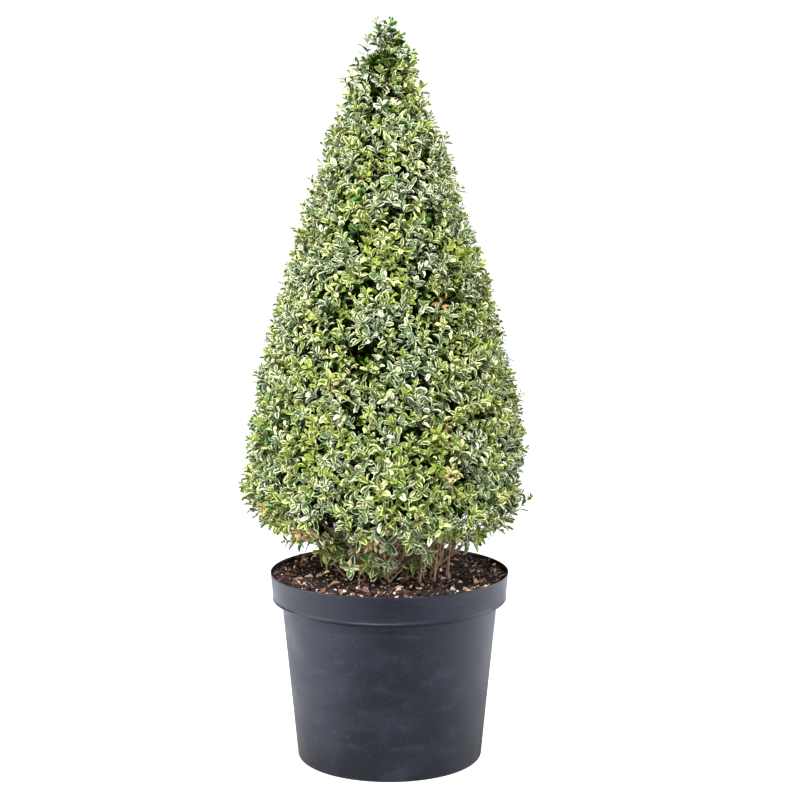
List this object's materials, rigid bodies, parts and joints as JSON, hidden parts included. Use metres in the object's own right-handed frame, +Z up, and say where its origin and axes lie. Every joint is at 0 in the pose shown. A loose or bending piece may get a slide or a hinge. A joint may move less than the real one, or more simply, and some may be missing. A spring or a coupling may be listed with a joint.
{
  "type": "potted cone topiary",
  "caption": "Variegated boxwood clipped to a tall bowed cone, on thin bare stems, growing in a round dark plastic nursery pot filled with bark compost.",
  "frame": {"origin": "the centre of the pot's flat underside, on the ground", "axes": "+Z up along the pot's axis, the plant's tall direction; -Y is the front of the plant and +X its right-hand side as seen from the front"},
  "size_m": [0.4043, 0.4024, 1.0583],
  "materials": {
    "pot": "matt, with faint scuffs and dust",
    "compost": "moist bark chips",
    "bark": "rough bark",
    "foliage": "small half-glossy leaves, green with cream margins"
  },
  "bodies": {
    "root": {"pot": "pot", "compost": "compost", "trunk": "bark", "foliage_cone": "foliage", "foliage_tip": "foliage", "foliage_low_1": "foliage", "foliage_low_2": "foliage", "foliage_low_3": "foliage", "foliage_low_4": "foliage", "foliage_low_5": "foliage", "foliage_low_6": "foliage", "foliage_low_7": "foliage", "foliage_low_8": "foliage", "foliage_low_9": "foliage", "foliage_low_10": "foliage", "foliage_low_11": "foliage", "foliage_low_12": "foliage", "stem_1": "bark", "stem_2": "bark", "stem_3": "bark", "stem_4": "bark", "stem_5": "bark", "stem_6": "bark", "stem_7": "bark", "stem_8": "bark", "stem_9": "bark", "stem_10": "bark", "stem_11": "bark", "stem_12": "bark", "stem_13": "bark"}
  },
  "joints": []
}
